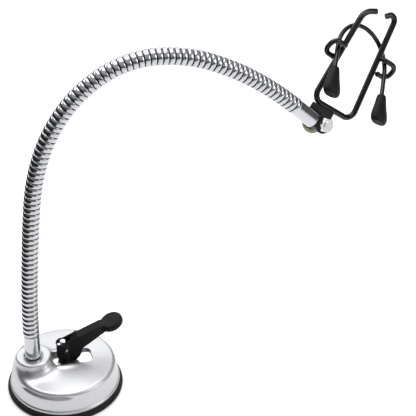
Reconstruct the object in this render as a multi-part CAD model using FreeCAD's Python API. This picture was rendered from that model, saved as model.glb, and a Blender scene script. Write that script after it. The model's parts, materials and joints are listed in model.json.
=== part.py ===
import FreeCAD
import Part
import math
import os

from FreeCAD import Matrix, Placement, Rotation, Vector

# Gooseneck helping hand on a lever-locked suction base, with a wire cradle. Millimetres.
# +Z is up, +X runs from the neck's boss towards the lever, and the origin is the centre
# of the suction pad's sealing face.

# Suction base
PAD_R = 59.0
PAD_H = 6.0
LIP_R = 56.0
TOP_R = 53.0
TOP_Z = 30.0
CROWN_Z = 34.0
CAST_WALL = 3.0
BOSS_X = -31.0
BOSS_R = 18.0
BOSS_Z = 45.0
SOCKET_Z = 12.0

# Lever, cross pin and pull stem, which stands on the base's centre line
PIVOT_X = 2.4
PIVOT_Z = 47.0
CAM_R = 17.0
PIN_R = 1.6
RUN = 0.05
GAP = 0.3
HUB_R = 7.3
HUB_TOP = 55.0
CHEEK_HALF = 5.5
SLOT_HALF = 3.35
STUD_R = 3.0
STUD_TOP = 56.5
STEM_R = 5.5
STEM_DROP = 2.5
RECESS_Z = 28.5
PLATE_H = 1.2

# Flexible neck: equal lengths that each turn by their own angle
FERRULE_R = 8.0
NECK_R = 8.5
NECK_BORE = 5.0
NECK_LEN = 51.7
NECK_START = Vector(BOSS_X, 0, 76.0)
NECK_LEAN = 0.9
NECK_TURNS = (3.1, 0.8, 2.3, 12.5, 18.4, 24.9, 32.1, 20.8, 11.1, 8.6)
STRAIGHT_BELOW = 6.0

# Knuckle at the neck's end, turned a little about the neck's own axis
KNUCKLE_R = 9.5
KNUCKLE_HALF = 6.5
KNUCKLE_TWIST = 21.0
BOLT_AHEAD = 36.5
BOLT_RISE = 2.5
BOLT_R = 4.0
DISC_R = 13.0
SHEET = 2.0
PLATE_N = -8.5

# Wire cradle, measured from the bolt: s along the bar, t up the legs, n along the bolt
# towards the nut
BAR_TURN = 7.0
BAR_S = 14.65
BAR_T = 17.85
BAR_N = -12.0
WIRE_R = 3.0
FOOT_HALF = 27.0
HEAD_HALF = 19.7
LEG_TOP = 98.9
CORNER_R = 10.0

# Pigtail eyes on the legs: (outward, upward) shift of each loop from the bail's centre
EYE_SHIFT = {-1: (3.0, -3.3), 1: (1.2, 6.5)}
EYE_T = 55.0
EYE_N = 6.2
EYE_LEAN = 25.0
EYE_R = 8.0
EYE_BEND = 6.8
EYE_WIRE_R = 2.6

# Bail wire and its rubber tips
BAIL_TILT = -29.0
BAIL_HALF = 33.5
BAIL_RISE = 37.0
BAIL_R = 2.3
BAIL_DROP = 42.0
TIP_TOP = -23.0

Y = Vector(0, 1, 0)
Z = Vector(0, 0, 1)


def save(name, shape):
    solid = shape.removeSplitter()
    if not solid.isValid() or len(solid.Solids) != 1:
        raise ValueError("%s: %d solids" % (name, len(solid.Solids)))
    solid.Solids[0].exportStep("parts/%s.step" % name)


def turned(outline):
    """Solid of revolution about Z from (r, z) points."""
    points = [Vector(r, 0, z) for r, z in outline]
    face = Part.Face(Part.makePolygon(points + points[:1]))
    return face.revolve(Vector(0, 0, 0), Z, 360)


def cylinder(radius, start, end):
    axis = end - start
    return Part.makeCylinder(radius, axis.Length, start, axis)


def rod(points, bends, radius):
    """Round wire along straight runs joined by tangent arcs."""
    edges = []
    last = points[0]
    for before, corner, after, bend in zip(points, points[1:], points[2:], bends):
        a = (before - corner).normalize()
        b = (after - corner).normalize()
        half = a.getAngle(b) / 2
        reach = bend / math.tan(half)
        start = corner + a * reach
        end = corner + b * reach
        middle = corner + (a + b).normalize() * (bend / math.sin(half) - bend)
        edges.append(Part.makeLine(last, start))
        edges.append(Part.Arc(start, middle, end).toShape())
        last = end
    edges.append(Part.makeLine(last, points[-1]))
    path = Part.Wire(edges)
    section = Part.Wire(Part.makeCircle(radius, points[0], points[1] - points[0]))
    return path.makePipeShell([section], True, True)


def suction_pad():
    body = turned([(0, 0), (PAD_R - 1, 0), (PAD_R, 1.5), (PAD_R, 3.2), (LIP_R + 1, PAD_H), (0, PAD_H)])
    groove = turned([(PAD_R - 8, -1), (PAD_R - 6.5, -1), (PAD_R - 6.5, 0.8), (PAD_R - 8, 0.8)])
    return body.cut(groove).cut(cylinder(20.5, Z * 1.2, Z * (PAD_H + 1)))


def recess(low, high, margin):
    """Slot in the casting round the lever's foot, with rounded ends."""
    length = 42 - 2 * margin
    block = Part.makeBox(length, 22 - 2 * margin, high - low, Vector(-13 + margin, -11 + margin, low))
    return block.makeFillet(6, [e for e in block.Edges if abs(e.BoundBox.ZLength - high + low) < 0.01])


def base_housing():
    outer = turned([(0, PAD_H), (LIP_R, PAD_H), (LIP_R, 8.5), (LIP_R - 1.4, 9.6), (TOP_R + 0.4, 24),
                    (TOP_R - 0.8, 27.6), (TOP_R - 3.4, TOP_Z), (20, CROWN_Z), (0, CROWN_Z)])
    hollow = turned([(0, PAD_H - 1), (LIP_R - 4, PAD_H - 1), (TOP_R - CAST_WALL, 23),
                     (TOP_R - 8, TOP_Z - 2 * CAST_WALL), (0, TOP_Z - 2 * CAST_WALL)])
    boss = cylinder(BOSS_R, Vector(BOSS_X, 0, PAD_H + 1), Vector(BOSS_X, 0, BOSS_Z))
    boss = boss.makeFillet(1.6, [e for e in boss.Edges if abs(e.BoundBox.ZMin - BOSS_Z) < 0.01])
    guide = cylinder(STEM_R + 4, Z * 20, Z * (RECESS_Z - 1))
    body = outer.cut(hollow).fuse([boss, guide])
    socket = cylinder(FERRULE_R + RUN, Vector(BOSS_X, 0, SOCKET_Z), Vector(BOSS_X, 0, BOSS_Z + 1))
    mouth = cylinder(FERRULE_R + 1.2, Vector(BOSS_X, 0, BOSS_Z - 3), Vector(BOSS_X, 0, BOSS_Z + 1))
    foot = recess(RECESS_Z, BOSS_Z + 5, 0)
    return body.cut(foot).cut(socket).cut(mouth).cut(cylinder(STEM_R + RUN, Z, Z * 40))


def cam_plate():
    """Bright wear plate on the recess floor, which the lever's cam runs on."""
    return recess(RECESS_Z, RECESS_Z + PLATE_H, 0.4).cut(cylinder(STEM_R + 0.6, Z * 20, Z * 40))


def lever():
    """Cam lever: a slotted round hub over the stem, an arm and a round thumb paddle."""
    hub = cylinder(HUB_R, Z * 25, Z * HUB_TOP)
    profile = [(0, 25), (14, 25), (17.4, 40.5), (19.5, 46.5), (41.3, 61), (46, 64), (46, 71.5),
               (38.4, 70.5), (15.5, 61.6), (14.6, 63), (4, HUB_TOP), (0, HUB_TOP)]
    points = [Vector(x, -CHEEK_HALF, z) for x, z in profile]
    arm = Part.Face(Part.makePolygon(points + points[:1])).extrude(Y * 2 * CHEEK_HALF)
    cam = Part.makeCylinder(CAM_R, 40, Vector(PIVOT_X, -20, PIVOT_Z), Y)
    above = Part.makeBox(80, 40, 60, Vector(-20, -20, PIVOT_Z - 6))
    body = hub.fuse(arm).common(cam.fuse(above))
    paddle = Part.makeCylinder(12, 7, Z * -3.5)
    paddle = paddle.makeFillet(2.4, [e for e in paddle.Edges if e.BoundBox.ZLength < 0.01])
    paddle.Placement = Placement(Vector(51, 0, 69.5), Rotation(Y, -20))
    pocket = Part.makeCylinder(11.6, 2 * SLOT_HALF, Vector(PIVOT_X, -SLOT_HALF, PIVOT_Z), Y)
    slot = Part.makeBox(16.2, 2 * SLOT_HALF, 30, Vector(-10, -SLOT_HALF, PIVOT_Z - 30))
    bore = Part.makeCylinder(PIN_R, 60, Vector(PIVOT_X, -30, PIVOT_Z), Y)
    collar = cylinder(STEM_R + 0.6, Z * 20, Z * (RECESS_Z + PLATE_H + 3.5))
    return body.fuse(paddle).cut(pocket).cut(slot).cut(bore).cut(collar)


def cross_pin(x, z, radius, half):
    pin = Part.makeCylinder(radius, 2 * half, Vector(x, -half, z), Y)
    return pin.makeChamfer(0.4, [e for e in pin.Edges if e.BoundBox.YLength < 0.01])


def pull_stem():
    """Stem with a flange in the pad, a flat tongue with a long eye, and a round stud on top."""
    shaft = cylinder(STEM_R, Z * 4, Z * (RECESS_Z + PLATE_H))
    tongue = cylinder(STEM_R, Z * 20, Z * (PIVOT_Z + 4.5 + STEM_DROP - 1))
    tongue = tongue.common(Part.makeBox(40, 2 * STUD_R, 60, Vector(-20, -STUD_R, 0)))
    stud = cylinder(STUD_R, Z * 40, Z * STUD_TOP)
    stud = stud.makeChamfer(0.5, [e for e in stud.Edges if e.BoundBox.ZMin > STUD_TOP - 0.01])
    eye_r = PIN_R + RUN
    eye = Part.makeBox(2 * eye_r, 40, STEM_DROP + 0.2, Vector(PIVOT_X - eye_r, -20, PIVOT_Z))
    low = Part.makeCylinder(eye_r, 40, Vector(PIVOT_X, -20, PIVOT_Z), Y)
    high = Part.makeCylinder(eye_r, 40, Vector(PIVOT_X, -20, PIVOT_Z + STEM_DROP + 0.2), Y)
    return shaft.fuse([cylinder(20, Z * 4, Z * 5.7), tongue, stud]).cut(eye.fuse([low, high]))


def release_spring():
    return cylinder(8.6, Z * 5.7, Z * 20).cut(cylinder(6.6, Z * 5, Z * 21))


def heading(angle):
    """Unit vector in the neck's plane, measured from +Z towards +X."""
    turn = math.radians(angle)
    return Vector(math.sin(turn), 0, math.cos(turn))


def neck_stations():
    """(point, heading angle) at each joint of the neck, foot first."""
    point = NECK_START
    angle = NECK_LEAN
    stations = [(point, angle)]
    for turn in NECK_TURNS:
        radius = NECK_LEN / math.radians(turn)
        side = heading(angle + 90)
        centre = point + side * radius
        angle += turn
        point = centre - heading(angle + 90) * radius
        stations.append((point, angle))
    return stations


def curved_bar(start, end, angle, turn, radius):
    """Round bar for one length of the neck, straight where the neck hardly turns."""
    if turn < STRAIGHT_BELOW:
        return cylinder(radius, start, end)
    bend = NECK_LEN / math.radians(turn)
    centre = start + heading(angle + 90) * bend
    face = Part.Face(Part.Wire(Part.makeCircle(radius, start, heading(angle))))
    return face.revolve(centre, Y, turn)


def neck_length(index, stations):
    start, angle = stations[index]
    end = stations[index + 1][0]
    turn = NECK_TURNS[index]
    bar = curved_bar(start, end, angle, turn, NECK_R)
    ball = Part.makeSphere(NECK_R, start)
    cup = Part.makeSphere(NECK_R + GAP, end)
    bore = curved_bar(start, end, angle, turn, NECK_BORE)
    tail = cylinder(NECK_BORE, start - heading(angle) * 12, start)
    return bar.fuse(ball).cut(cup).cut(bore).cut(tail)


def lower_ferrule():
    tube = cylinder(FERRULE_R, Vector(BOSS_X, 0, SOCKET_Z + 1), NECK_START)
    bore = cylinder(NECK_BORE + 1, Vector(BOSS_X, 0, SOCKET_Z), NECK_START)
    return tube.cut(bore).cut(Part.makeSphere(NECK_R + GAP, NECK_START))


def head_frame(stations):
    """Bolt centre, then unit vectors along the bar, up the legs and along the bolt."""
    point, angle = stations[-1]
    ahead = heading(angle)
    twist = math.radians(KNUCKLE_TWIST)
    turn = math.radians(BAR_TURN)
    n = heading(angle - 90) * math.sin(twist) - Y * math.cos(twist)
    side = n.cross(ahead)
    s = ahead * math.cos(turn) + side * math.sin(turn)
    return point + ahead * BOLT_AHEAD + side * BOLT_RISE, s, n.cross(s), n


def upper_ferrule(stations, head):
    point, angle = stations[-1]
    end = point + heading(angle) * (BOLT_AHEAD - 10)
    tube = cylinder(FERRULE_R, point, end).fuse(Part.makeSphere(FERRULE_R, point))
    bore = cylinder(NECK_BORE, point - heading(angle) * 12, end + heading(angle))
    return tube.cut(bore).cut(on_bolt(head, KNUCKLE_R, -20, 20))


def on_bolt(head, radius, start, end):
    return cylinder(radius, head[0] + head[3] * start, head[0] + head[3] * end)


def ring(head, outer, inner, start, end):
    return on_bolt(head, outer, start, end).cut(on_bolt(head, inner, start - 1, end + 1))


def hexagon(head, across, start, end):
    radius = across / math.sqrt(3)
    points = []
    for k in range(7):
        a = math.radians(60 * k + 15)
        points.append(head[0] + head[3] * start + head[1] * radius * math.cos(a)
                      + head[2] * radius * math.sin(a))
    return Part.Face(Part.makePolygon(points)).extrude(head[3] * (end - start))


def knuckle_block(stations, head):
    """Plug in the ferrule with a cross barrel for the bolt."""
    point, angle = stations[-1]
    barrel = on_bolt(head, KNUCKLE_R, -KNUCKLE_HALF, KNUCKLE_HALF)
    plug = cylinder(NECK_BORE, point + heading(angle) * 6, point + heading(angle) * BOLT_AHEAD)
    return barrel.fuse(plug).cut(on_bolt(head, BOLT_R, -20, 20))


def pivot_bolt(head):
    disc_back = PLATE_N - SHEET - GAP - SHEET
    shank = on_bolt(head, BOLT_R, disc_back, KNUCKLE_HALF + 7.5)
    return shank.fuse(hexagon(head, 13, disc_back - 5.3, disc_back))


def hex_nut(head):
    top = KNUCKLE_HALF + 6.5
    nut = hexagon(head, 13, KNUCKLE_HALF, top)
    return nut.cut(ring(head, 20, 7.1, top - 0.6, top)).cut(on_bolt(head, BOLT_R, -20, 40))


def cradle_point(head, s, t, n=0.0):
    return head[0] + head[1] * (BAR_S + s) + head[2] * (BAR_T + t) + head[3] * (BAR_N + n)


def cradle_wire(head):
    """U of coated rod. One leg ends in an open hook and the other in a tighter one."""
    outline = [(-6.5, 105.2), (-HEAD_HALF, LEG_TOP), (-FOOT_HALF, 0), (FOOT_HALF, 0),
               (18.9, 110.4), (11.5, 110.2), (7.0, 106.4)]
    bends = [14, CORNER_R, CORNER_R, 6.5, 4.5]
    return rod([cradle_point(head, s, t) for s, t in outline], bends, WIRE_R)


def head_bracket(head, frame):
    """Plate from the bar down to the bolt, welded under the bar."""
    outline = [(-12, 15.5), (16.5, 15.5), (16, 3), (10, -6), (4, -9.5), (-4, -9.5), (-10, -6), (-13, 3)]
    points = [head[0] + head[1] * s + head[2] * t + head[3] * PLATE_N for s, t in outline]
    plate = Part.Face(Part.makePolygon(points + points[:1])).extrude(head[3] * -SHEET)
    return plate.cut(frame).cut(on_bolt(head, BOLT_R + RUN, -40, 40))


def bail_dir(head):
    tilt = math.radians(BAIL_TILT)
    return head[2] * math.cos(tilt) + head[3] * math.sin(tilt)


def swing_point(head, side):
    """Where the bail hangs in the eye on one side."""
    return cradle_point(head, side * BAIL_HALF, EYE_T, EYE_N) + bail_dir(head) * EYE_SHIFT[side][1]


def eye(head, side, frame):
    """Pigtail of wire welded to a leg and bent round the bail, with a round free end."""
    s, t, n = head[1:]
    out = s * side
    lean = math.radians(EYE_LEAN)
    up = t * math.cos(lean) + n * math.sin(lean)
    centre = swing_point(head, side) + out * EYE_SHIFT[side][0]
    weld_t = (centre - cradle_point(head, 0, 0)).dot(t) + EYE_R * 0.9
    leg = FOOT_HALF - (FOOT_HALF - HEAD_HALF) * weld_t / LEG_TOP
    end = centre - out * (EYE_R * 0.5) - up * EYE_R
    path = [cradle_point(head, side * leg, weld_t), centre - out * (EYE_R * 0.9) + up * EYE_R,
            centre + out * EYE_R + up * EYE_R, centre + out * EYE_R - up * EYE_R, end]
    loop = rod(path, [3, EYE_BEND, EYE_BEND], EYE_WIRE_R)
    return loop.fuse(Part.makeSphere(EYE_WIRE_R + 0.3, end)).cut(frame)


def bail_wire(head):
    along = bail_dir(head)
    centre = cradle_point(head, 0, EYE_T, EYE_N)
    left = centre - head[1] * BAIL_HALF
    right = centre + head[1] * BAIL_HALF
    oval = Part.Ellipse(centre + along * BAIL_RISE, right, centre)
    arch = Part.ArcOfEllipse(oval, -math.pi / 2, math.pi / 2).toShape()
    low_left = left - along * BAIL_DROP
    edges = [Part.makeLine(low_left, left), arch, Part.makeLine(right, right - along * BAIL_DROP)]
    path = Part.Wire(Part.__sortEdges__(edges))
    section = Part.Wire(Part.makeCircle(BAIL_R, low_left, along))
    return path.makePipeShell([section], True, True)


def rubber_tip(head, side, wire):
    """Flared rubber foot pushed over the bail's end."""
    along = bail_dir(head)
    across = head[1]
    depth = along.cross(across)
    place = Matrix(across.x, depth.x, along.x, 0, across.y, depth.y, along.y, 0,
                   across.z, depth.z, along.z, 0, 0, 0, 0, 1)
    centre = cradle_point(head, side * BAIL_HALF, EYE_T, EYE_N)
    sections = []
    for drop, half_width, half_depth in ((0, 4.4, 4.2), (10, 6.8, 5.0), (20, 9.4, 5.8), (26, 9.8, 5.8),
                                         (30, 7.6, 4.2)):
        ellipse = Part.Ellipse(Vector(0, 0, 0), half_width, half_depth)
        outline = Part.Wire(ellipse.toShape())
        outline.Placement = Placement(place)
        outline.translate(centre + along * (TIP_TOP - drop))
        sections.append(outline)
    return Part.makeLoft(sections, True, False).cut(wire)


def main():
    os.makedirs("parts", exist_ok=True)
    save("suction_pad", suction_pad())
    save("base_housing", base_housing())
    save("cam_plate", cam_plate())
    save("lever", lever())
    save("lever_pivot_pin", cross_pin(PIVOT_X, PIVOT_Z, PIN_R, CHEEK_HALF + 0.6))
    save("pull_stem", pull_stem())
    save("release_spring", release_spring())
    save("lower_ferrule", lower_ferrule())
    stations = neck_stations()
    for index in range(len(NECK_TURNS)):
        save("neck_%02d" % (index + 1), neck_length(index, stations))
    head = head_frame(stations)
    save("upper_ferrule", upper_ferrule(stations, head))
    save("knuckle_block", knuckle_block(stations, head))
    save("knuckle_disc", ring(head, DISC_R, BOLT_R, PLATE_N - SHEET - GAP - SHEET, PLATE_N - SHEET - GAP))
    save("spacer_washer", ring(head, 8.5, BOLT_R, PLATE_N + GAP, -KNUCKLE_HALF))
    save("pivot_bolt", pivot_bolt(head))
    save("hex_nut", hex_nut(head))
    frame = cradle_wire(head)
    save("cradle_wire", frame)
    save("head_bracket", head_bracket(head, frame))
    save("eye_left", eye(head, -1, frame))
    save("eye_right", eye(head, 1, frame))
    bail = bail_wire(head)
    save("bail_wire", bail)
    save("tip_left", rubber_tip(head, -1, bail))
    save("tip_right", rubber_tip(head, 1, bail))
    for point, angle in stations:
        print("joint %.3f %.3f heading %.2f" % (point.x, point.z, angle))
    print("bolt", head[0], "bolt axis", head[3], "bar", head[1], "legs", head[2])
    print("swing left", swing_point(head, -1), "swing right", swing_point(head, 1))


main()
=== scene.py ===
import json
import math

import bmesh
import bpy
from mathutils import Matrix, Vector


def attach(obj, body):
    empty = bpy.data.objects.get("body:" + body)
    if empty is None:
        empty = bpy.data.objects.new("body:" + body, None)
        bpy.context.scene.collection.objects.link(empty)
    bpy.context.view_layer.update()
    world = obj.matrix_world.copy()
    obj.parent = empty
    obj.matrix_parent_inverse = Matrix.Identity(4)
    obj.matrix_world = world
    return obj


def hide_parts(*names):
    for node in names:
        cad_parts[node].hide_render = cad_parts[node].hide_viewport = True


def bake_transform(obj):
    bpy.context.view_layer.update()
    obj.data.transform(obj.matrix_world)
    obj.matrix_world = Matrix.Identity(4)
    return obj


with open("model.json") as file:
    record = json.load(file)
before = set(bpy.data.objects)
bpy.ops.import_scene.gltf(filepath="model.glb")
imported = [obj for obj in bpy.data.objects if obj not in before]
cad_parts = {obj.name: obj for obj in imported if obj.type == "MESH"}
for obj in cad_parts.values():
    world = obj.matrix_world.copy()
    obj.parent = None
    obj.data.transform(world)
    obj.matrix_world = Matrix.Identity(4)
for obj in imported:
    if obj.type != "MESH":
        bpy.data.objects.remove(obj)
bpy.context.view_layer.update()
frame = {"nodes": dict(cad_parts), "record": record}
MM = 0.001

# The stand is looked down on from the side of the knuckle's nut, with the suction base
# at the lower left. The far end of the arm leans a little away.
swing = math.radians(-16)
rise = math.radians(35.2)
DISTANCE = 1.5
aim = Vector((0.153, 0, 0.191))
back = Vector((math.sin(swing) * math.cos(rise), -math.cos(swing) * math.cos(rise), math.sin(rise)))
camera_data = bpy.data.cameras.new("camera")
camera_data.lens = 132
camera = bpy.data.objects.new("camera", camera_data)
camera.location = aim + back * DISTANCE
camera.rotation_euler = back.to_track_quat("Z", "Y").to_euler()
bpy.context.scene.collection.objects.link(camera)
bpy.context.scene.camera = camera


# A pale floor that glows a little, as paper does on a lit table. It lies just under the
# pad's rim, so that the two don't share a face.
def matt(name, shade, roughness):
    material = bpy.data.materials.new(name)
    material.use_nodes = True
    shader = material.node_tree.nodes["Principled BSDF"]
    shader.inputs["Base Color"].default_value = (shade, shade, shade, 1)
    shader.inputs["Roughness"].default_value = roughness
    return material


def staged(bm, name, material):
    """Piece of the studio, which is no part of the stand."""
    mesh = bpy.data.meshes.new(name)
    bm.to_mesh(mesh)
    bm.free()
    mesh.materials.append(material)
    item = bpy.data.objects.new(name, mesh)
    bpy.context.scene.collection.objects.link(item)
    return item


paper = matt("floor", 0.93, 0.9)
glow = paper.node_tree.nodes["Principled BSDF"].inputs
glow["Emission Color"].default_value = (1, 1, 1, 1)
glow["Emission Strength"].default_value = 0.25
sheet = bmesh.new()
bmesh.ops.create_grid(sheet, x_segments=2, y_segments=2, size=6)
bmesh.ops.translate(sheet, verts=sheet.verts, vec=(0, 0, -0.4 * MM))
staged(sheet, "floor", paper)


# Large soft panels of light hang over, beside and behind the stand, and all point at the
# middle of the arm.
def panel(name, place, size, watts, target=(0.12, 0, 0.18)):
    data = bpy.data.lights.new(name, "AREA")
    data.shape = "RECTANGLE"
    data.size = size[0]
    data.size_y = size[1]
    data.energy = watts
    lamp = bpy.data.objects.new(name, data)
    lamp.location = place
    lamp.rotation_euler = (Vector(place) - Vector(target)).to_track_quat("Z", "Y").to_euler()
    bpy.context.scene.collection.objects.link(lamp)


panel("overhead", (0.1, 0.3, 1.6), (1.3, 1.0), 15)
panel("right_front", (1.3, -0.9, 1.0), (0.7, 1.0), 7)
panel("left_back", (-1.1, 1.0, 1.1), (0.7, 0.7), 4)
panel("back_wall", (0.1, 2.0, 1.35), (2.6, 1.3), 16)

# A black card stands upright beside the stand's left. Only its reflection shows, as the
# dark streak down the outer side of the plated neck.
upright = bmesh.new()
bmesh.ops.create_grid(upright, x_segments=1, y_segments=1, size=0.5)
bmesh.ops.rotate(upright, verts=upright.verts, matrix=Matrix.Rotation(math.radians(90), 3, "Y"))
bmesh.ops.scale(upright, verts=upright.verts, vec=(1, 1.2, 0.34))
bmesh.ops.translate(upright, verts=upright.verts, vec=(-0.22, 0.15, 0.18))
card = staged(upright, "card", matt("card", 0.01, 1.0))
card.visible_camera = False
card.visible_shadow = False

# The room is dark at the level of the table and pale from a good way up, which gives the
# plated parts their dark streaks under a bright top.
world = bpy.data.worlds.new("room")
world.use_nodes = True
bpy.context.scene.world = world
nodes = world.node_tree.nodes
links = world.node_tree.links
direction = nodes.new("ShaderNodeTexCoord")
split = nodes.new("ShaderNodeSeparateXYZ")
links.new(direction.outputs["Generated"], split.inputs[0])
walls = nodes.new("ShaderNodeValToRGB")
walls.color_ramp.elements[0].position = 0.0
walls.color_ramp.elements[0].color = (0.02, 0.02, 0.02, 1)
walls.color_ramp.elements[1].position = 0.62
walls.color_ramp.elements[1].color = (0.9, 0.9, 0.92, 1)
links.new(split.outputs["Z"], walls.inputs[0])
links.new(walls.outputs[0], nodes["Background"].inputs["Color"])
nodes["Background"].inputs["Strength"].default_value = 0.55
bpy.context.scene.view_settings.view_transform = "Standard"


# Suction pad: one moulded rubber disc under the casting. Its thin flared rim stands out
# all round, with a bead along the edge, and a shallow ring underneath makes the seal.
def surface(name, colour, metallic, roughness, grain=900.0, grain_depth=0.1, mottling=0.08, shine=0.5):
    """Procedural finish: even colour, slightly uneven gloss and a fine grain."""
    material = bpy.data.materials.new(name)
    material.use_nodes = True
    tree = material.node_tree
    shader = tree.nodes["Principled BSDF"]
    shader.inputs["Metallic"].default_value = metallic
    shader.inputs["Specular IOR Level"].default_value = shine
    where = tree.nodes.new("ShaderNodeTexCoord")
    cloud = tree.nodes.new("ShaderNodeTexNoise")
    cloud.inputs["Scale"].default_value = 45.0
    cloud.inputs["Detail"].default_value = 4.0
    tree.links.new(where.outputs["Object"], cloud.inputs["Vector"])
    gloss = tree.nodes.new("ShaderNodeMapRange")
    gloss.inputs["To Min"].default_value = roughness * (1 - 2 * mottling)
    gloss.inputs["To Max"].default_value = roughness * (1 + 2 * mottling)
    tree.links.new(cloud.outputs["Fac"], gloss.inputs["Value"])
    tree.links.new(gloss.outputs["Result"], shader.inputs["Roughness"])
    tone = tree.nodes.new("ShaderNodeValToRGB")
    tone.color_ramp.elements[0].color = [c * (1 - mottling) for c in colour] + [1]
    tone.color_ramp.elements[1].color = [min(c * (1 + mottling), 1) for c in colour] + [1]
    tree.links.new(cloud.outputs["Fac"], tone.inputs[0])
    tree.links.new(tone.outputs[0], shader.inputs["Base Color"])
    speck = tree.nodes.new("ShaderNodeTexNoise")
    speck.inputs["Scale"].default_value = grain
    tree.links.new(where.outputs["Object"], speck.inputs["Vector"])
    bump = tree.nodes.new("ShaderNodeBump")
    bump.inputs["Strength"].default_value = grain_depth
    bump.inputs["Distance"].default_value = 0.0002
    tree.links.new(speck.outputs["Fac"], bump.inputs["Height"])
    tree.links.new(bump.outputs["Normal"], shader.inputs["Normal"])
    return material


def spun(profile, steps=96):
    """Closed solid turned about Z from (radius, height) points in millimetres."""
    bm = bmesh.new()
    line = [bm.verts.new((r * MM, 0, z * MM)) for r, z in profile]
    edges = [bm.edges.new(pair) for pair in zip(line, line[1:])]
    bmesh.ops.spin(bm, geom=line + edges, cent=(0, 0, 0), axis=(0, 0, 1), dvec=(0, 0, 0),
                   angle=math.tau, steps=steps, use_merge=True)
    bmesh.ops.remove_doubles(bm, verts=bm.verts, dist=1e-6)
    bmesh.ops.recalc_face_normals(bm, faces=bm.faces)
    return bm


def make(bm, name, material, crease=35.0):
    """Piece from a mesh, smooth except along edges sharper than the crease angle."""
    for edge in bm.edges:
        edge.smooth = len(edge.link_faces) == 2 and edge.calc_face_angle(0) < math.radians(crease)
    for face in bm.faces:
        face.smooth = True
    mesh = bpy.data.meshes.new(name)
    bm.to_mesh(mesh)
    bm.free()
    mesh.materials.append(material)
    piece = bpy.data.objects.new(name, mesh)
    bpy.context.scene.collection.objects.link(piece)
    return piece


pad_rubber = surface("pad_rubber", (0.005, 0.005, 0.005), 0.0, 0.55, 1400, 0.25, shine=0.25)
sealing_face = [(0, 0.4), (50.8, 0.2), (51.4, 0.9), (52.6, 0.9), (53.2, 0.1), (58.2, 0.0)]
flared_rim = [(58.8, 0.6), (59.0, 1.6), (58.8, 2.8), (58.1, 3.6), (57.3, 4.2), (56.9, 5.6)]
pad_top = [(56.4, 6.0), (0, 6.0)]
pad = make(spun(sealing_face + flared_rim + pad_top, 128), "pad_moulding", pad_rubber)
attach(pad, "base")
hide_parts("suction_pad")


# Base casting: zinc alloy, tumbled and sprayed in satin silver. A shallow crown carries
# the tall boss for the neck, and a slot with raised banks holds the lever's foot.
def ease(value, low, high):
    t = min(max((value - low) / (high - low), 0.0), 1.0)
    return t * t * (3 - 2 * t)


BOSS_X = -31.0
CROWN_TOP = 34.0
PAD_TOP = 6.1
NECK_BORE_R = 8.1
FERRULE_SEAT_R = 9.2


def crown_relief(x, y):
    """Height in millimetres added to the plain crown at a point."""
    to_boss = math.hypot(x - BOSS_X, y)
    fillet = 9 * math.exp(-max(to_boss - 18, 0) / 3.6)
    bank = 1.3 * (1 - ease(x, -12, 29)) * math.exp(-((abs(y) - 12.5) / 3.5) ** 2)
    flute = -1.6 * ease(x, 16, 32) * (1 - ease(x, 38, 52)) * math.exp(-(y / 11.0) ** 2)
    radius = math.hypot(x, y)
    return max(fillet * ease(53.2 - radius, 0, 1.6), bank + flute * ease(52.5 - radius, 0, 6))


crown = [(r, CROWN_TOP - 4.0 * (r / 50) ** 1.8) for r in range(50)]
shoulder = [(50.2, 29.7), (51.3, 29.0), (52.0, 28.2), (52.4, 27.4)]
wall = [(52.6, 26.8), (52.7, 26.2), (52.8, 25.6), (52.9, 25.0), (53.0, 24.2), (53.2, 23.2), (53.6, 21.0),
        (54.0, 17.0), (54.4, 13.0), (54.7, 10.2)]
foot_bead = [(55.1, 9.6), (55.8, 9.2), (56.0, 8.6), (56.0, 6.6), (55.6, PAD_TOP), (0, PAD_TOP)]
casting = spun(crown + shoulder + wall + foot_bead, 160)

# Under the shoulder, the wall steps in along two crescents, one on each side of the boss.
CRESCENTS = (236, 150)
CRESCENT_DEPTH = 3.0
CRESCENT_Z = 25.8
for vertex in casting.verts:
    x, y, z = vertex.co / MM
    radius = math.hypot(x, y)
    if z > 28.9 and radius < 52:
        vertex.co.z += crown_relief(x, y) * MM
    if 22 < z < 28.9 and radius > 50:
        lean = max(math.cos(math.atan2(y, x) - math.radians(middle)) for middle in CRESCENTS)
        under = CRESCENT_DEPTH * ease(lean, 0.83, 0.97) * math.exp(-((z - CRESCENT_Z) / 1.1) ** 2)
        vertex.co.x -= under * x / radius * MM
        vertex.co.y -= under * y / radius * MM

boss = spun([(0, 12), (22.0, 12), (21.0, 22), (18.6, 34), (18.1, 43.2), (17.6, 44.4), (16.6, 45.0),
             (9.9, 45.0), (FERRULE_SEAT_R, 44.4), (FERRULE_SEAT_R, 42.0), (NECK_BORE_R, 42.0),
             (NECK_BORE_R, 13), (0, 13)], 96)
bmesh.ops.translate(boss, verts=boss.verts, vec=(BOSS_X * MM, 0, 0))

# The slot is a round-cornered trough, cut down from above to a flat floor.
SLOT_LONG = 42
SLOT_WIDE = 22
SLOT_X = 8
SLOT_FLOOR = 28.5
CUT_HIGH = 30
slot_cut = bmesh.new()
bmesh.ops.create_cube(slot_cut, size=1)
bmesh.ops.scale(slot_cut, vec=(SLOT_LONG * MM, SLOT_WIDE * MM, CUT_HIGH * MM), verts=slot_cut.verts)
bmesh.ops.translate(slot_cut, vec=(SLOT_X * MM, 0, (SLOT_FLOOR + CUT_HIGH / 2) * MM), verts=slot_cut.verts)
uprights = [e for e in slot_cut.edges if abs(e.verts[0].co.z - e.verts[1].co.z) > 0.001]
bmesh.ops.bevel(slot_cut, geom=uprights, offset=6 * MM, segments=8, affect="EDGES", profile=0.5, material=-1)
feet = [e for e in slot_cut.edges if max(v.co.z for v in e.verts) < (SLOT_FLOOR + 0.5) * MM]
bmesh.ops.bevel(slot_cut, geom=feet, offset=1.0 * MM, segments=3, affect="EDGES", profile=0.5, material=-1)


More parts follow.
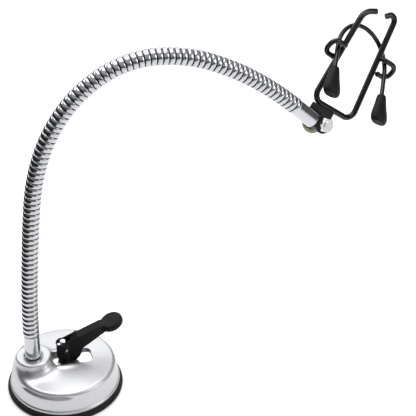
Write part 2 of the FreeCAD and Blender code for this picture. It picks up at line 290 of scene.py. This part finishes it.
def temporary(bm, name):
    """Loose object for one working step, taken away again afterwards."""
    mesh = bpy.data.meshes.new(name)
    bm.to_mesh(mesh)
    bm.free()
    item = bpy.data.objects.new(name, mesh)
    bpy.context.scene.collection.objects.link(item)
    return item


def worked(item, *tools):
    """Mesh of an object after boolean steps, given as (operation, other object)."""
    for operation, other in tools:
        step = item.modifiers.new(operation, "BOOLEAN")
        step.operation = operation
        step.object = other
        step.solver = "EXACT"
    view = bpy.context.evaluated_depsgraph_get()
    mesh = bpy.data.meshes.new_from_object(item.evaluated_get(view))
    bm = bmesh.new()
    bm.from_mesh(mesh)
    bpy.data.meshes.remove(mesh)
    for other in [item] + [other for _, other in tools]:
        bpy.data.objects.remove(other)
    bmesh.ops.remove_doubles(bm, verts=bm.verts, dist=2e-6)
    return bm


silver = surface("silver_casting", (0.60, 0.605, 0.62), 0.85, 0.38, 2600, 0.06, 0.03)
shell = worked(temporary(casting, "casting"), ("UNION", temporary(boss, "boss")),
               ("DIFFERENCE", temporary(slot_cut, "slot_cut")))
housing = make(shell, "housing_casting", silver, 42)
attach(housing, "base")
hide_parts("base_housing")


# Wear plate, lever pin, stem, spring, washer, bolt and nut: bright steel, turned or stamped.
# They keep the shape they are designed with and get softened shading.
def put_on(piece, node):
    """Let a piece stand for its solid and move with that solid's body."""
    body = next(b for b, names in frame["record"]["behaviour"]["bodies"].items() if node in names)
    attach(piece, body)
    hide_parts(node)


def finished(node, material, crease=28.0):
    """A machined part: the designed solid with smooth rounds and crisp edges."""
    bm = bmesh.new()
    bm.from_mesh(frame["nodes"][node].data)
    bmesh.ops.remove_doubles(bm, verts=bm.verts, dist=2e-6)
    put_on(make(bm, node + "_part", material, crease), node)


steel = surface("bright_steel", (0.78, 0.78, 0.77), 1.0, 0.22, 1800, 0.05, 0.05)
for node in ("cam_plate", "lever_pivot_pin", "pull_stem", "release_spring",
             "spacer_washer", "pivot_bolt", "hex_nut"):
    finished(node, steel)


# Lever: glass-filled nylon, moulded in one piece, with a slotted hub over the stem and a
# round thumb paddle. Its edges are rounded and its skin has a faint moulded texture.
def moulded(node, material, grid, passes, ribs=()):
    """A moulded part: the designed solid and its ribs, with every edge rounded over."""
    bm = bmesh.new()
    bm.from_mesh(frame["nodes"][node].data)
    for outline, y, thickness in ribs:
        face = bm.faces.new([bm.verts.new((x * MM, y * MM, z * MM)) for x, z in outline])
        swept = bmesh.ops.extrude_face_region(bm, geom=[face])
        bmesh.ops.translate(bm, vec=(0, thickness * MM, 0),
                            verts=[v for v in swept["geom"] if isinstance(v, bmesh.types.BMVert)])
    bmesh.ops.remove_doubles(bm, verts=bm.verts, dist=2e-6)
    item = temporary(bm, node + "_blank")
    remesh = item.modifiers.new("remesh", "REMESH")
    remesh.mode = "VOXEL"
    remesh.voxel_size = grid * MM
    smooth = item.modifiers.new("smooth", "SMOOTH")
    smooth.factor = 0.5
    smooth.iterations = passes
    put_on(make(worked(item), node + "_moulding", material, 60), node)


lever_plastic = surface("lever_plastic", (0.005, 0.005, 0.0055), 0.0, 0.45, 1500, 0.2, shine=0.15)
CHEEK = ((-5.0, 50), (-5.0, 54.3), (14.2, 62.0), (13.0, 56), (4, 50))
CHEEK_THICK = 1.9
CHEEK_INNER_Y = 3.5
moulded("lever", lever_plastic, 0.5, 3,
        ((CHEEK, CHEEK_INNER_Y, CHEEK_THICK), (CHEEK, -CHEEK_INNER_Y - CHEEK_THICK, CHEEK_THICK)))

# Ferrules: thin-walled steel sleeves, chromium plated, one set in the boss and one crimped
# on the neck's far end.
chrome = surface("chrome", (0.55, 0.56, 0.58), 1.0, 0.15, 600, 0.02, 0.05)
finished("lower_ferrule", chrome)
finished("upper_ferrule", chrome)

# Neck: a gooseneck of plated steel strip wound into close rounded bands with a narrow
# groove between each two, which slide on one another as it bends.
hinges = {j["name"]: j for j in frame["record"]["behaviour"]["joints"]}
bend_names = sorted(name for name in hinges if name.startswith("neck_bend"))
stations = [Vector(hinges[name]["pos_m"]) for name in bend_names]
FOOT_LEAN = 0.9
headings = [math.radians(FOOT_LEAN)]
for near, far in zip(stations, stations[1:]):
    chord = math.atan2(far.x - near.x, far.z - near.z)
    headings.append(2 * chord - headings[-1])
LENGTH = 51.7
BANDS = 9
BAND = LENGTH / BANDS


def neck_place(distance):
    """Point and heading of the neck's centre line, a distance in millimetres from its foot."""
    index = min(max(int(distance // LENGTH), 0), len(stations) - 2)
    along = distance - index * LENGTH
    swept = (headings[index + 1] - headings[index]) * along / LENGTH
    run = along * MM
    if abs(swept) > 1e-6:
        run *= math.sin(swept / 2) / (swept / 2)
    angle = headings[index] + swept / 2
    return stations[index] + run * Vector((math.sin(angle), 0, math.cos(angle))), headings[index] + swept


def neck_material():
    """Plating with painted shade: near black mixed into its colour down in the grooves."""
    material = surface("neck_chrome", (0.54, 0.55, 0.57), 1.0, 0.14, 600, 0.02, 0.06)
    tree = material.node_tree
    shader = tree.nodes["Principled BSDF"]
    groove_shade_mask = tree.nodes.new("ShaderNodeAttribute")
    groove_shade_mask.attribute_name = "groove"
    groove_shade_mix = tree.nodes.new("ShaderNodeMix")
    groove_shade_mix.data_type = "RGBA"
    plated = shader.inputs["Base Color"].links[0].from_socket
    tree.links.new(groove_shade_mask.outputs["Fac"], groove_shade_mix.inputs["Factor"])
    tree.links.new(plated, groove_shade_mix.inputs["A"])
    # Painted shade: the colour in the grooves is mixed towards near black, standing in for the shade that
    # falls down in them.
    groove_shade_mix.inputs["B"].default_value = (0.02, 0.02, 0.02, 1)
    tree.links.new(groove_shade_mix.outputs["Result"], shader.inputs["Base Color"])
    return material


neck_chrome = neck_material()
GROOVE_R = 7.2
BORE_R = 5.0
BAND_SHAPE = ((0.0, GROOVE_R), (0.07, 7.85), (0.15, 8.22), (0.32, 8.45), (0.5, 8.5), (0.68, 8.45),
              (0.85, 8.22), (0.93, 7.85))


def neck_stretch(index, first, count):
    """Bands of the neck from one distance on, bent to the centre line."""
    outline = [(BORE_R, first)]
    for band in range(count):
        outline += [(radius, first + (band + part) * BAND) for part, radius in BAND_SHAPE]
    last = first + count * BAND
    outline += [(GROOVE_R, last), (BORE_R, last)]
    outline += [(BORE_R, last - k * (last - first) / 8) for k in range(1, 8)] + [(BORE_R, first)]
    bm = spun(outline, 48)
    # The groove mask carries painted shade: it is 0 on a band's crest and 1 from a groove's bottom inwards.
    groove_shade_mask = bm.verts.layers.float.new("groove")
    for vertex in bm.verts:
        radius = math.hypot(vertex.co.x, vertex.co.y) / MM
        vertex[groove_shade_mask] = ease(8.3 - radius, 0, 0.9)
        centre, angle = neck_place(vertex.co.z / MM)
        side = Vector((math.cos(angle), 0, -math.sin(angle)))
        vertex.co = centre + side * vertex.co.x + Vector((0, vertex.co.y, 0))
    piece = make(bm, "neck_bands_%02d" % index, neck_chrome, 60)
    neck_place(first)[0]
    neck_place(last)[0]
    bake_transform(piece)
    if index:
        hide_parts("neck_%02d" % index)


# The first band starts just inside the lower ferrule. A short stretch at each end crosses
# that end's hinge, and the others cross the hinges between.
FIRST_BAND = -3.6
END_BANDS = 5
neck_stretch(0, FIRST_BAND, END_BANDS)
for index in range(1, len(stations)):
    bands = BANDS if index < len(stations) - 1 else END_BANDS
    neck_stretch(index, FIRST_BAND + (END_BANDS + (index - 1) * BANDS) * BAND, bands)

# Knuckle: a black steel plug in the far ferrule with a cross barrel for the bolt, and a
# large zinc-plated and yellow-passivated disc on the bolt's far side.
black_sheet = surface("black_sheet", (0.005, 0.005, 0.0055), 0.0, 0.35, 1200, 0.12, shine=0.3)
finished("knuckle_block", black_sheet)
yellow_zinc = surface("yellow_zinc", (0.36, 0.35, 0.20), 0.9, 0.38, 1400, 0.08, 0.18)
finished("knuckle_disc", yellow_zinc)

# Bracket: a flat black powder-coated plate, welded under the cradle's bar and drilled for
# the bolt. It turns with the cradle when the nut is slackened.
finished("head_bracket", black_sheet)

# Cradle: steel rod bent to a U with hooked ends and dipped in glossy black plastic, with
# a wire pigtail welded to each leg. The bail that hangs in the two pigtails is thinner.
wire_coating = surface("wire_coating", (0.004, 0.004, 0.0045), 0.0, 0.18, 700, 0.08, shine=0.4)
for node in ("cradle_wire", "eye_left", "eye_right", "bail_wire"):
    finished(node, wire_coating, 40)

# Tips: flared feet of moulded black rubber, pushed over the two ends of the bail so that
# they grip what lies in the cradle.
tip_rubber = surface("tip_rubber", (0.004, 0.004, 0.0045), 0.0, 0.5, 1400, 0.25, shine=0.2)
for node in ("tip_left", "tip_right"):
    moulded(node, tip_rubber, 0.5, 4)
